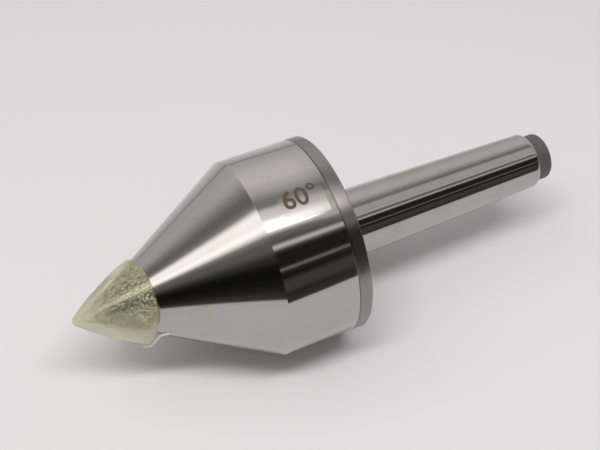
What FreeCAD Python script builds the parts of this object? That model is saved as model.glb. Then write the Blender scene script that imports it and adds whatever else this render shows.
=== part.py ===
"""Live center for a lathe: a rotating 60 degree head on a Morse No. 4 arbor.

Every piece is turned about the X axis. +X runs from the point to the tail, +Z is up, and the
origin is on the axis at the gauge plane of the Morse taper. Millimetres.
"""
import FreeCAD, Part
import math
import os
import Sketcher

document = FreeCAD.newDocument("live_center")

# ---- driving dimensions ------------------------------------------------------------------------
DRIVING = {
    # rotating head
    "head_diameter": 88.9,
    "head_land": 32.0,
    "point_angle": 60,
    "point_flat": 1.0,
    "edge_break": 0.4,
    # Morse No. 4 shank and its tail
    "gauge_diameter": 31.267,
    "taper_ratio": 19.254,
    "plug_depth": 103.2,
    "shank_corner_length": 2.6,
    "shank_corner_depth": 1.6,
    "stub_diameter": 21.8,
    "stub_length": 7.6,
    "stub_corner": 1.5,
    "center_hole": 9.0,
    "center_drill": 4.0,
    "center_drill_depth": 11.0,
    # end cap
    "gauge_to_cap": 2.7,
    "cap_rim": 5.8,
    "cap_web": 4.0,
    "thread_step": 2.0,
    "thread_relief": 0.6,
    "spigot_setback": 1.2,
    "spanner_inset": 8.45,
    "spanner_hole": 6.0,
    "spanner_depth": 4.0,
    # shaft seal in the cap
    "journal": 35.0,
    "collar_setback": 0.8,
    "seal_section": 5.0,
    "seal_width": 5.0,
    "seal_recess": 1.0,
    "seal_case_sheet": 0.8,
    # disc spring and bronze thrust washer behind the arbor flange
    "flange_diameter": 56.0,
    "flange_width": 5.0,
    "spring_outside": 51.0,
    "spring_inside": 38.0,
    "spring_sheet": 1.0,
    "spring_height": 1.6,
    "thrust_outside": 52.0,
    "thrust_sheet": 2.5,
    # tapered roller bearing, 35 x 72 x 18.25, in the head's wall
    "head_wall": 8.45,
    "rear_width": 18.25,
    "cone_width": 17.0,
    "cup_width": 15.0,
    "cup_angle": 14.0,
    "roller_taper": 2.0,
    "rear_roller_length": 12.0,
    "rear_roller_count": 14,
    "rear_roller_setback": 9.3,
    "large_rib_depth": 1.15,
    "small_rib_depth": 4.45,
    "rear_cage_lift": 1.2,
    "cup_seat": 5.0,
    # cylindrical roller bearing, 25 x 52 x 15
    "bearing_spacing": 7.0,
    "nose_diameter": 25.0,
    "front_outside": 52.0,
    "front_width": 15.0,
    "front_pitch": 39.0,
    "front_roller_diameter": 7.5,
    "front_roller_length": 9.0,
    "front_roller_count": 11,
    "front_rib": 43.0,
    "front_cage_width": 13.0,
    # running clearance between rollers and races, and between the cages and what they pass
    "running_gap": 0.05,
    "cage_gap": 0.15,
    "cage_sheet": 1.2,
    "side_gap": 0.4,
    # spacer, circlip, lock washer and locknut
    "spacer_flange": 41.0,
    "spacer_flange_width": 3.0,
    "spacer_body": 31.0,
    "circlip_sheet": 2.0,
    "circlip_depth": 1.5,
    "circlip_radial": 3.4,
    "circlip_opening": 16.0,
    "circlip_land": 2.0,
    "lock_washer_sheet": 1.25,
    "lock_washer_ring": 33.0,
    "lock_washer_tabs": 38.0,
    "lock_tab_width": 4.0,
    "lock_tab_count": 11,
    "keyway_width": 5.0,
    "keyway_depth": 1.6,
    "nut_outside": 36.0,
    "nut_width": 7.0,
    "nut_slot_width": 5.0,
    "nut_slot_depth": 2.0,
    "nose_stand": 2.0,
    # grease room in front of the locknut
    "cavity_diameter": 41.0,
    "cavity_gap": 0.6,
    "cavity_step": 4.5,
    "cavity_floor": 28.0,
    # protective dip over the point
    "coating_front": 2.4,
    "coating_length": 30.1,
    "coating_ball": 2.6,
    "coating_bow": 121.0,
    "coating_rim": 19.25,
    "coating_sag": 4.1,
}

sheet = document.addObject("Spreadsheet::Sheet", "dims")
for row, (alias, number) in enumerate(DRIVING.items(), 1):
    sheet.set(f"A{row}", alias)
    sheet.set(f"B{row}", str(number))
    sheet.setAlias(f"B{row}", alias)
document.recompute()


# ---- expressions -------------------------------------------------------------------------------
def radius(alias):
    """Half of a diameter kept in the sheet."""
    return f"(dims.{alias} / 2)"


def value(expression):
    """The number that an expression of the driving dimensions comes to."""
    return float(sheet.evalExpression(expression))


# stations along X, from the end cap forward to the point
CAP_REAR = "(-dims.gauge_to_cap)"
JOINT = f"({CAP_REAR} - dims.cap_rim)"
SHOULDER = f"({JOINT} - dims.head_land)"
HALF_ANGLE = "(dims.point_angle / 2)"
APEX = f"({SHOULDER} - {radius('head_diameter')} / tan({HALF_ANGLE}))"
POINT = f"({APEX} + {radius('point_flat')} / tan({HALF_ANGLE}))"
COLLAR_REAR = f"({CAP_REAR} - dims.collar_setback)"
SEAL_REAR = f"({CAP_REAR} - dims.seal_recess)"
SEAL_FRONT = f"({SEAL_REAR} - dims.seal_width)"
WEB_FRONT = f"({SEAL_FRONT} - dims.cap_web)"
SPRING_FRONT = f"({WEB_FRONT} - dims.spring_height)"
THRUST_FRONT = f"({SPRING_FRONT} - dims.thrust_sheet)"
FLANGE_REAR = f"({THRUST_FRONT} - dims.running_gap)"
FLANGE_FRONT = f"({FLANGE_REAR} - dims.flange_width)"
SPIGOT_END = f"({FLANGE_REAR} + dims.spigot_setback)"
THREAD_END = f"({SPIGOT_END} - dims.thread_relief)"
CUP_BACK = f"({FLANGE_FRONT} - dims.rear_width)"
CUP_FACE = f"({CUP_BACK} + dims.cup_width)"
CONE_FACE = f"({FLANGE_FRONT} - dims.cone_width)"
FRONT_BEARING_REAR = f"({CUP_BACK} - dims.bearing_spacing)"
FRONT_BEARING_FACE = f"({FRONT_BEARING_REAR} - dims.front_width)"
WASHER_FACE = f"({FRONT_BEARING_FACE} - dims.lock_washer_sheet)"
NUT_FACE = f"({WASHER_FACE} - dims.nut_width)"
NOSE = f"({NUT_FACE} - dims.nose_stand)"

# radii that follow from the head's wall and the arbor's journal
REAR_BORE = f"({radius('head_diameter')} - dims.head_wall)"
CAP_THREAD = f"({REAR_BORE} + dims.thread_step)"
CUP_SHOULDER = f"({REAR_BORE} - dims.cup_seat)"
SPANNER_CIRCLE = f"({radius('head_diameter')} - dims.spanner_inset)"
SEAL_OUTSIDE = f"({radius('journal')} + dims.seal_section)"
REAR_PITCH = f"(({radius('journal')} + {REAR_BORE}) / 2)"
LARGE_RIB = f"({REAR_PITCH} - dims.large_rib_depth)"
SMALL_RIB = f"({REAR_PITCH} - dims.small_rib_depth)"

# tapered bearing: races and rollers share one apex on the axis, ahead of the bearing
ROLLER_TILT = "(dims.cup_angle - dims.roller_taper)"
CONE_ANGLE = "(dims.cup_angle - 2 * dims.roller_taper)"
REAR_ROLLER_MIDDLE = f"({FLANGE_FRONT} - dims.rear_roller_setback)"
PITCH_APEX = f"({REAR_ROLLER_MIDDLE} - {REAR_PITCH} / tan({ROLLER_TILT}))"
ROLLER_REACH = f"({REAR_PITCH} / sin({ROLLER_TILT}))"


def on_cone(station, angle):
    """Radius, at a station, of a cone whose point is the shared apex."""
    return f"(({station}) - {PITCH_APEX}) * tan({angle})"


def on_shank(station):
    """Radius of the Morse taper at a station."""
    return f"({radius('gauge_diameter')} - ({station}) / (2 * dims.taper_ratio))"


def on_point(station):
    """Radius of the 60 degree cone at a station."""
    return f"(({station}) - {APEX}) * tan({HALF_ANGLE})"


def along_roller(distance, lift):
    """Station and radius of a spot beside a tapered roller, from its middle.

    The distance runs along the roller's own axis to the rear, the lift square to it, outward.
    """
    station = f"({REAR_ROLLER_MIDDLE} + ({distance}) * cos({ROLLER_TILT}) - ({lift}) * sin({ROLLER_TILT}))"
    height = f"({REAR_PITCH} + ({distance}) * sin({ROLLER_TILT}) + ({lift}) * cos({ROLLER_TILT}))"
    return station, height


# ---- modelling ---------------------------------------------------------------------------------
pieces = []


def new_body(label, origin):
    """A body whose own zero is at a station on the axis."""
    body = document.addObject("PartDesign::Body", label)
    body.Label = label
    body.setExpression(".Placement.Base.x", origin)
    pieces.append(body)
    return body


def origin_feature(body, role):
    """One of the body's own planes or axes."""
    return next(item for item in body.Origin.OriginFeatures if item.Role == role)


def new_sketch(body, name, plane="XZ_Plane"):
    sketch = body.newObject("Sketcher::SketchObject", name)
    sketch.AttachmentSupport = [(origin_feature(body, plane), "")]
    sketch.MapMode = "FlatFace"
    return sketch


def pin(sketch, edge, end, kind, number, expression):
    """Hold one end of an edge at a distance from the sketch's origin."""
    if abs(number) < 1e-9:
        axis = -2 if kind == "DistanceX" else -1
        sketch.addConstraint(Sketcher.Constraint("PointOnObject", edge, end, axis))
        return
    index = sketch.addConstraint(Sketcher.Constraint(kind, -1, 1, edge, end, number))
    sketch.setExpression(f"Constraints[{index}]", expression)


def draw_profile(body, name, origin, corners, axis=None):
    """A closed outline of (station, radius) corners in the XZ plane.

    A corner with a third entry is reached by an arc of that radius that bulges outward. The axis
    is a pair of corner numbers that a construction line joins.
    """
    sketch = new_sketch(body, name)
    places = []
    for corner in corners:
        station = f"({corner[0]}) - ({origin})"
        places.append((station, corner[1], FreeCAD.Vector(value(station), value(corner[1]), 0)))
    count = len(corners)
    ends = []
    for index in range(count):
        start = places[index][2]
        after = (index + 1) % count
        stop = places[after][2]
        if len(corners[after]) == 2:
            sketch.addGeometry(Part.LineSegment(start, stop), False)
            ends.append((1, 2))
            continue
        bend = value(corners[after][2])
        chord = stop - start
        middle = (start + stop) / 2
        across = FreeCAD.Vector(chord.y, -chord.x, 0).normalize()
        center = middle + across * math.sqrt(max(bend ** 2 - (chord.Length / 2) ** 2, 0))
        circle = Part.Circle(center, FreeCAD.Vector(0, 0, 1), bend)
        first = math.atan2(stop.y - center.y, stop.x - center.x)
        last = math.atan2(start.y - center.y, start.x - center.x)
        sketch.addGeometry(Part.ArcOfCircle(circle, first, last), False)
        held = sketch.addConstraint(Sketcher.Constraint("Radius", index, bend))
        sketch.setExpression(f"Constraints[{held}]", corners[after][2])
        ends.append((2, 1))
    for index in range(count):
        after = (index + 1) % count
        sketch.addConstraint(Sketcher.Constraint("Coincident", index, ends[index][1], after, ends[after][0]))
    for index, (station, height, place) in enumerate(places):
        pin(sketch, index, ends[index][0], "DistanceX", place.x, station)
        pin(sketch, index, ends[index][0], "DistanceY", place.y, height)
    if axis is not None:
        line = sketch.addGeometry(Part.LineSegment(places[axis[0]][2], places[axis[1]][2]), True)
        for end, corner in enumerate(axis, 1):
            sketch.addConstraint(Sketcher.Constraint("Coincident", line, end, corner, ends[corner][0]))
    return sketch


def turn(body, name, origin, corners, kind="Revolution", axis=None):
    """Turn an outline about the X axis, or about one of its own edges."""
    sketch = draw_profile(body, f"{name}_outline", origin, corners, axis)
    feature = body.newObject(f"PartDesign::{kind}", name)
    feature.Profile = sketch
    feature.ReferenceAxis = (sketch, ["H_Axis" if axis is None else "Axis0"])
    feature.Angle = 360
    return feature


def repeat(body, feature, count):
    """Copies of one feature, evenly spaced about the X axis."""
    document.recompute()
    pattern = body.newObject("PartDesign::PolarPattern", f"{feature.Name}_set")
    pattern.Originals = [feature]
    pattern.Axis = (origin_feature(body, "X_Axis"), [""])
    pattern.Angle = 360
    pattern.setExpression("Occurrences", count)
    body.Tip = pattern
    return pattern


def cut_along(body, name, sketch, depth, reversed_side):
    """A pocket of a named depth, or right through where the depth is None."""
    feature = body.newObject("PartDesign::Pocket", name)
    feature.Profile = sketch
    feature.Reversed = reversed_side
    if depth is None:
        feature.Type = "ThroughAll"
    else:
        feature.setExpression("Length", depth)
    return feature


def ring(label, front, rear, inside, outside):
    """A plain ring between two stations."""
    body = new_body(label, front)
    turn(body, f"{label}_ring", front, [(front, inside), (front, outside), (rear, outside), (rear, inside)])
    return body


def side_rectangle(body, name, low, high, half_width):
    """A slot outline in the YZ plane, centred on Y = 0, between two heights."""
    sketch = new_sketch(body, name, "YZ_Plane")
    bottom = value(low)
    top = value(high)
    side = value(half_width)
    corners = [(-side, bottom), (side, bottom), (side, top), (-side, top)]
    for index in range(4):
        start = FreeCAD.Vector(*corners[index], 0)
        stop = FreeCAD.Vector(*corners[(index + 1) % 4], 0)
        sketch.addGeometry(Part.LineSegment(start, stop), False)
    for index in range(4):
        sketch.addConstraint(Sketcher.Constraint("Coincident", index, 2, (index + 1) % 4, 1))
    sketch.addConstraint(Sketcher.Constraint("Horizontal", 2))
    sketch.addConstraint(Sketcher.Constraint("Vertical", 1))
    sketch.addConstraint(Sketcher.Constraint("Vertical", 3))
    sketch.addConstraint(Sketcher.Constraint("Symmetric", 0, 1, 0, 2, -2))
    width = sketch.addConstraint(Sketcher.Constraint("DistanceX", 0, 1, 0, 2, 2 * side))
    sketch.setExpression(f"Constraints[{width}]", f"2 * ({half_width})")
    pin(sketch, 1, 1, "DistanceY", bottom, low)
    pin(sketch, 1, 2, "DistanceY", top, high)
    return sketch


# ---- arbor -------------------------------------------------------------------------------------
def make_arbor():
    """Spindle, thrust flange, Morse shank and dark tail stub: one hardened forging."""
    journal_end = f"({CONE_FACE} + dims.edge_break)"
    tail = "(dims.plug_depth + dims.stub_length)"
    corner_start = "(dims.plug_depth - dims.shank_corner_length)"
    hole_bottom = f"({tail} - ({radius('center_hole')} - {radius('center_drill')}) / tan(30))"
    body = new_body("arbor", NOSE)
    turn(body, "arbor_turning", NOSE, [
        (NOSE, "0"),
        (NOSE, f"{radius('nose_diameter')} - dims.nose_stand / 2"),
        (f"{NOSE} + dims.nose_stand / 2", radius("nose_diameter")),
        (journal_end, radius("nose_diameter")),
        (journal_end, radius("journal")),
        (FLANGE_FRONT, radius("journal")),
        (FLANGE_FRONT, radius("flange_diameter")),
        (FLANGE_REAR, radius("flange_diameter")),
        (FLANGE_REAR, radius("journal")),
        (COLLAR_REAR, radius("journal")),
        (COLLAR_REAR, on_shank(COLLAR_REAR)),
        (corner_start, on_shank(corner_start)),
        ("dims.plug_depth", f"{on_shank(corner_start)} - dims.shank_corner_depth"),
        ("dims.plug_depth", radius("stub_diameter")),
        (f"{tail} - dims.stub_corner", radius("stub_diameter")),
        (tail, f"{radius('stub_diameter')} - dims.stub_corner"),
        (tail, radius("center_hole")),
        (hole_bottom, radius("center_drill")),
        (f"{tail} - dims.center_drill_depth", radius("center_drill")),
        (f"{tail} - dims.center_drill_depth", "0"),
    ])
    document.recompute()
    slot = side_rectangle(
        body, "keyway_outline",
        f"{radius('nose_diameter')} - dims.keyway_depth", radius("nose_diameter"), radius("keyway_width"))
    cut_along(body, "keyway", slot, f"{FRONT_BEARING_FACE} - {NOSE} + dims.edge_break", True)


# ---- rotating head -----------------------------------------------------------------------------
def make_head():
    """The 60 degree head: cone, ground land and the stepped bore for the bearings."""
    groove_rear = f"({FRONT_BEARING_REAR} + dims.circlip_sheet + dims.cage_gap)"
    groove_radius = f"({radius('front_outside')} + dims.circlip_depth)"
    bore_start = f"({groove_rear} + dims.circlip_land)"
    cavity_end = f"({NUT_FACE} - dims.cavity_gap)"
    floor = f"({cavity_end} - dims.cavity_step)"
    body = new_body("head_cone", POINT)
    turn(body, "head_turning", POINT, [
        (POINT, "0"),
        (POINT, radius("point_flat")),
        (SHOULDER, radius("head_diameter")),
        (f"{JOINT} - dims.edge_break", radius("head_diameter")),
        (JOINT, f"{radius('head_diameter')} - dims.edge_break"),
        (JOINT, CAP_THREAD),
        (THREAD_END, CAP_THREAD),
        (THREAD_END, REAR_BORE),
        (CUP_BACK, REAR_BORE),
        (CUP_BACK, CUP_SHOULDER),
        (bore_start, CUP_SHOULDER),
        (bore_start, radius("front_outside")),
        (groove_rear, radius("front_outside")),
        (groove_rear, groove_radius),
        (FRONT_BEARING_REAR, groove_radius),
        (FRONT_BEARING_REAR, radius("front_outside")),
        (FRONT_BEARING_FACE, radius("front_outside")),
        (FRONT_BEARING_FACE, radius("cavity_diameter")),
        (cavity_end, radius("cavity_diameter")),
        (cavity_end, radius("cavity_floor")),
        (floor, radius("cavity_floor")),
        (floor, "0"),
    ])


DIP_TIP = f"({APEX} - dims.coating_front)"


def in_dip(reach, height):
    """Station and height of a spot in the dip, whose own axis sags from its tip."""
    station = f"({DIP_TIP} + ({reach}) * cos(dims.coating_sag) + ({height}) * sin(dims.coating_sag))"
    lift = f"(({height}) * cos(dims.coating_sag) - ({reach}) * sin(dims.coating_sag))"
    return station, lift


def make_coating():
    """Strippable plastic dip on the point: a bowed skin that sagged to one side as it set."""
    ball = "dims.coating_ball"
    rim = "dims.coating_rim"
    reach = f"(dims.coating_length - {ball})"
    span = f"sqrt({reach} ^ 2 + {rim} ^ 2)"
    # the bowed flank leaves the nose ball along its tangent
    slope = f"(atan({rim} / {reach}) - asin({ball} / {span}) + asin({span} / (2 * dims.coating_bow)))"
    body = new_body("tip_coating", DIP_TIP)
    turn(body, "coating_skin", DIP_TIP, [
        in_dip("0", "0"),
        (*in_dip(f"{ball} * (1 - sin({slope}))", f"{ball} * cos({slope})"), ball),
        (*in_dip("dims.coating_length", rim), "dims.coating_bow"),
        in_dip("dims.coating_length", "0"),
    ], axis=(0, 3))
    turn(body, "point_hollow", DIP_TIP, [
        (POINT, "0"),
        (POINT, radius("point_flat")),
        (SHOULDER, radius("head_diameter")),
        (SHOULDER, "0"),
    ], "Groove")


# ---- end cap and seal --------------------------------------------------------------------------
def make_end_cap():
    """Dark screwed ring that closes the head and carries the seal and the preload spring."""
    thrust_pocket = f"({radius('thrust_outside')} + dims.cage_gap)"
    web_bore = f"({radius('journal')} + dims.seal_case_sheet)"
    rim = radius("head_diameter")
    body = new_body("end_cap", SPIGOT_END)
    turn(body, "end_cap_turning", SPIGOT_END, [
        (CAP_REAR, SEAL_OUTSIDE),
        (SEAL_FRONT, SEAL_OUTSIDE),
        (SEAL_FRONT, web_bore),
        (WEB_FRONT, web_bore),
        (WEB_FRONT, thrust_pocket),
        (SPIGOT_END, thrust_pocket),
        (SPIGOT_END, CAP_THREAD),
        (JOINT, CAP_THREAD),
        (JOINT, f"{rim} - dims.edge_break"),
        (f"{JOINT} + dims.edge_break", rim),
        (f"{CAP_REAR} - dims.edge_break", rim),
        (CAP_REAR, f"{rim} - dims.edge_break"),
    ])
    hole_bottom = f"({CAP_REAR} - dims.spanner_depth)"
    axis_height = SPANNER_CIRCLE
    hole = turn(body, "spanner_hole", SPIGOT_END, [
        (hole_bottom, axis_height),
        (hole_bottom, f"{axis_height} + {radius('spanner_hole')}"),
        (CAP_REAR, f"{axis_height} + {radius('spanner_hole')}"),
        (CAP_REAR, axis_height),
    ], "Groove", axis=(0, 3))
    repeat(body, hole, "4")


def make_seal():
    """Shaft seal: a pressed steel case in the cap and a rubber lip that runs on the collar."""
    outside = SEAL_OUTSIDE
    inner_wall = f"({outside} - dims.seal_case_sheet)"
    wall = f"({SEAL_FRONT} + dims.seal_case_sheet)"
    throat = f"({radius('journal')} + dims.seal_case_sheet)"
    case = new_body("seal_case", SEAL_FRONT)
    turn(case, "seal_case_turning", SEAL_FRONT, [
        (SEAL_FRONT, throat),
        (SEAL_FRONT, outside),
        (SEAL_REAR, outside),
        (SEAL_REAR, inner_wall),
        (wall, inner_wall),
        (wall, throat),
    ])
    lip = new_body("seal_lip", SEAL_FRONT)
    turn(lip, "seal_lip_turning", SEAL_FRONT, [
        (wall, f"{throat} + dims.seal_case_sheet"),
        (wall, inner_wall),
        (SEAL_REAR, inner_wall),
        (SEAL_REAR, f"{throat} + dims.seal_case_sheet / 2"),
        (f"{SEAL_REAR} - dims.seal_width / 4", f"{radius('journal')} + dims.running_gap"),
        (f"{SEAL_REAR} - dims.seal_width / 2", throat),
    ])


# ---- preload spring and thrust washer ----------------------------------------------------------
def make_disc_spring():
    """Coned washer between the cap's web and the thrust washer."""
    body = new_body("disc_spring", SPRING_FRONT)
    turn(body, "disc_spring_turning", SPRING_FRONT, [
        (SPRING_FRONT, radius("spring_outside")),
        (f"{SPRING_FRONT} + dims.spring_sheet", radius("spring_outside")),
        (WEB_FRONT, radius("spring_inside")),
        (f"{WEB_FRONT} - dims.spring_sheet", radius("spring_inside")),
    ])


def make_thrust_washer():
    """Bronze washer that runs against the rear of the arbor flange."""
    inside = f"({radius('journal')} + dims.cage_gap)"
    ring("thrust_washer", THRUST_FRONT, SPRING_FRONT, inside, radius("thrust_outside"))


# ---- tapered roller bearing --------------------------------------------------------------------
def tapered_roller(spare_length, spare_radius):
    """Half outline of a tapered roller about its own tilted axis."""
    half = f"({radius('rear_roller_length')} + {spare_length})"
    rear_side = f"(({ROLLER_REACH} + {half}) * tan(dims.roller_taper) + {spare_radius})"
    front_side = f"(({ROLLER_REACH} - {half}) * tan(dims.roller_taper) + {spare_radius})"
    return [
        along_roller(f"-{half}", "0"),
        along_roller(f"-{half}", front_side),
        along_roller(half, rear_side),
        along_roller(half, "0"),
    ]


def make_tapered_bearing():
    """Inner cone on the arbor, cup in the head, and caged rollers whose lines meet at one apex."""
    cup = new_body("rear_bearing_cup", CUP_BACK)
    turn(cup, "cup_turning", CUP_BACK, [
        (CUP_BACK, on_cone(CUP_BACK, "dims.cup_angle")),
        (CUP_BACK, REAR_BORE),
        (CUP_FACE, REAR_BORE),
        (CUP_FACE, on_cone(CUP_FACE, "dims.cup_angle")),
    ])

    # the ribs stand square to the rollers, one cage gap clear of their ends
    half = f"({radius('rear_roller_length')} + dims.cage_gap)"
    rear_root = along_roller(half, f"-({ROLLER_REACH} + {half}) * tan(dims.roller_taper)")
    front_root = along_roller(f"-{half}", f"-({ROLLER_REACH} - {half}) * tan(dims.roller_taper)")
    rear_rib_face = f"({rear_root[0]} - ({LARGE_RIB} - {rear_root[1]}) * tan({ROLLER_TILT}))"
    front_rib_face = f"({front_root[0]} - dims.side_gap)"
    cone = new_body("rear_bearing_cone", CONE_FACE)
    turn(cone, "cone_turning", CONE_FACE, [
        (CONE_FACE, radius("journal")),
        (CONE_FACE, SMALL_RIB),
        (front_rib_face, SMALL_RIB),
        (front_rib_face, on_cone(front_rib_face, CONE_ANGLE)),
        rear_root,
        (rear_rib_face, LARGE_RIB),
        (FLANGE_FRONT, LARGE_RIB),
        (FLANGE_FRONT, radius("journal")),
    ])

    rollers = new_body("rear_rollers", CUP_BACK)
    roller = turn(rollers, "tapered_roller", CUP_BACK, tapered_roller("0", "-dims.running_gap"), axis=(0, 3))
    repeat(rollers, roller, "dims.rear_roller_count")

    # conical sheet cage with a turned-in lip at its small end
    low = "dims.rear_cage_lift"
    high = f"({low} + dims.cage_sheet)"
    rear_reach = f"({radius('rear_roller_length')} + dims.cage_sheet + dims.cage_gap)"
    front_reach = f"({radius('rear_roller_length')} + dims.cage_sheet / 2)"
    rear_low = along_roller(rear_reach, low)
    rear_high = along_roller(rear_reach, high)
    front_high = along_roller(f"-({front_reach} + dims.cage_sheet)", high)
    front_low = along_roller(f"-{front_reach}", low)
    lip_radius = f"({SMALL_RIB} + dims.side_gap)"
    lip_rear = f"({front_high[0]} + dims.cage_sheet)"
    cage = new_body("rear_cage", CUP_BACK)
    turn(cage, "rear_cage_turning", CUP_BACK, [
        (front_high[0], lip_radius),
        front_high,
        rear_high,
        rear_low,
        (lip_rear, front_low[1]),
        (lip_rear, lip_radius),
    ])
    window = turn(cage, "rear_window", CUP_BACK, tapered_roller("dims.cage_gap", "dims.cage_gap"), "Groove",
                  axis=(0, 3))
    repeat(cage, window, "dims.rear_roller_count")


# ---- cylindrical roller bearing ----------------------------------------------------------------
FRONT_MIDDLE = f"(({FRONT_BEARING_REAR} + {FRONT_BEARING_FACE}) / 2)"
FRONT_INNER_RACE = f"({radius('front_pitch')} - {radius('front_roller_diameter')})"
FRONT_OUTER_RACE = f"({radius('front_pitch')} + {radius('front_roller_diameter')})"


def front_roller(spare_length, spare_radius):
    """Half outline of a cylindrical roller about its own axis."""
    front = f"({FRONT_MIDDLE} - {radius('front_roller_length')} - {spare_length})"
    rear = f"({FRONT_MIDDLE} + {radius('front_roller_length')} + {spare_length})"
    top = f"({FRONT_OUTER_RACE} + {spare_radius})"
    axis_height = radius("front_pitch")
    return [(front, axis_height), (front, top), (rear, top), (rear, axis_height)]


def make_cylindrical_bearing():
    """Ribbed outer ring in the head, plain inner ring on the arbor's nose, and caged rollers."""
    bore = radius("nose_diameter")
    ring("front_inner_ring", FRONT_BEARING_FACE, FRONT_BEARING_REAR, bore, FRONT_INNER_RACE)
    race_front = f"({FRONT_MIDDLE} - {radius('front_roller_length')} - dims.running_gap)"
    race_rear = f"({FRONT_MIDDLE} + {radius('front_roller_length')} + dims.running_gap)"
    outer = new_body("front_outer_ring", FRONT_BEARING_FACE)
    turn(outer, "front_outer_turning", FRONT_BEARING_FACE, [
        (FRONT_BEARING_FACE, radius("front_rib")),
        (FRONT_BEARING_FACE, radius("front_outside")),
        (FRONT_BEARING_REAR, radius("front_outside")),
        (FRONT_BEARING_REAR, radius("front_rib")),
        (race_rear, radius("front_rib")),
        (race_rear, FRONT_OUTER_RACE),
        (race_front, FRONT_OUTER_RACE),
        (race_front, radius("front_rib")),
    ])
    rollers = new_body("front_rollers", FRONT_BEARING_FACE)
    roller = turn(rollers, "cylindrical_roller", FRONT_BEARING_FACE, front_roller("0", "-dims.running_gap"),
                  axis=(0, 3))
    repeat(rollers, roller, "dims.front_roller_count")
    cage_front = f"({FRONT_MIDDLE} - {radius('front_cage_width')})"
    cage_rear = f"({FRONT_MIDDLE} + {radius('front_cage_width')})"
    cage_inside = f"({radius('front_pitch')} - dims.cage_sheet)"
    cage_outside = f"({radius('front_rib')} - dims.side_gap)"
    cage = ring("front_cage", cage_front, cage_rear, cage_inside, cage_outside)
    window = turn(cage, "front_window", cage_front, front_roller("dims.cage_gap", "dims.cage_gap"), "Groove",
                  axis=(0, 3))
    repeat(cage, window, "dims.front_roller_count")


# ---- spacer, circlip, lock washer and locknut --------------------------------------------------
def make_spacer():
    """Stepped sleeve that holds the two inner rings apart."""
    flange_front = f"({CONE_FACE} - dims.spacer_flange_width)"
    body = new_body("spacer_sleeve", FRONT_BEARING_REAR)
    turn(body, "spacer_turning", FRONT_BEARING_REAR, [
        (FRONT_BEARING_REAR, radius("nose_diameter")),
        (FRONT_BEARING_REAR, radius("spacer_body")),
        (flange_front, radius("spacer_body")),
        (flange_front, radius("spacer_flange")),
        (CONE_FACE, radius("spacer_flange")),
        (CONE_FACE, radius("nose_diameter")),
    ])


def make_circlip():
    """Open spring ring in the head's groove, behind the front outer ring."""
    outside = f"({radius('front_outside')} + dims.circlip_depth - dims.running_gap)"
    inside = f"({outside} - dims.circlip_radial)"
    rear = f"({FRONT_BEARING_REAR} + dims.circlip_sheet)"
    body = ring("bore_circlip", FRONT_BEARING_REAR, rear, inside, outside)
    document.recompute()
    mouth = side_rectangle(
        body, "circlip_mouth_outline",
        f"{inside} - dims.circlip_radial", f"{outside} + dims.edge_break", radius("circlip_opening"))
    cut_along(body, "circlip_mouth", mouth, None, True)


def make_lock_washer():
    """Tabbed washer keyed to the arbor, under the locknut."""
    inside = radius("nose_diameter")
    body = ring("lock_washer", WASHER_FACE, FRONT_BEARING_FACE, inside, radius("lock_washer_ring"))
    document.recompute()
    outline = side_rectangle(
        body, "lock_tab_outline",
        f"{radius('lock_washer_ring')} - dims.edge_break", radius("lock_washer_tabs"),
        radius("lock_tab_width"))
    tab = body.newObject("PartDesign::Pad", "lock_tab")
    tab.Profile = outline
    tab.setExpression("Length", "dims.lock_washer_sheet")
    repeat(body, tab, "dims.lock_tab_count")
    document.recompute()
    outline = side_rectangle(
        body, "key_tab_outline",
        f"{radius('nose_diameter')} - dims.keyway_depth + dims.running_gap",
        f"{radius('nose_diameter')} + dims.edge_break", f"{radius('keyway_width')} - dims.cage_gap")
    key = body.newObject("PartDesign::Pad", "key_tab")
    key.Profile = outline
    key.setExpression("Length", "dims.lock_washer_sheet")
    body.Tip = key


def make_locknut():
    """Slotted round nut on the arbor's threaded nose."""
    body = ring("locknut", NUT_FACE, WASHER_FACE, radius("nose_diameter"), radius("nut_outside"))
    document.recompute()
    outline = side_rectangle(
        body, "nut_slot_outline",
        f"{radius('nut_outside')} - dims.nut_slot_depth", f"{radius('nut_outside')} + dims.edge_break",
        radius("nut_slot_width"))
    slot = cut_along(body, "nut_slot", outline, None, True)
    repeat(body, slot, "4")


make_arbor()
make_head()
make_coating()
make_end_cap()
make_seal()
make_disc_spring()
make_thrust_washer()
make_tapered_bearing()
make_cylindrical_bearing()
make_spacer()
make_circlip()
make_lock_washer()
make_locknut()
document.recompute()

# ---- checks and export -------------------------------------------------------------------------
for item in document.Objects:
    if "Invalid" in item.State or "Error" in item.State:
        raise RuntimeError(f"{item.Name} failed: {item.State}")
os.makedirs("parts", exist_ok=True)
for piece in pieces:
    if piece.Shape.isNull() or not piece.Shape.isValid():
        raise RuntimeError(f"{piece.Label} has no valid shape")
    piece.Shape.exportStep(f"parts/{piece.Label}.step")
    print(f"{piece.Label}: {len(piece.Shape.Solids)} solids, {piece.Shape.Volume:.0f} mm3")
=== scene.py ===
"""Live center: looks of the rotating head, its end cap, the arbor and the dip on the point."""
import math

import bpy
from mathutils import Matrix, Vector, noise


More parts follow.
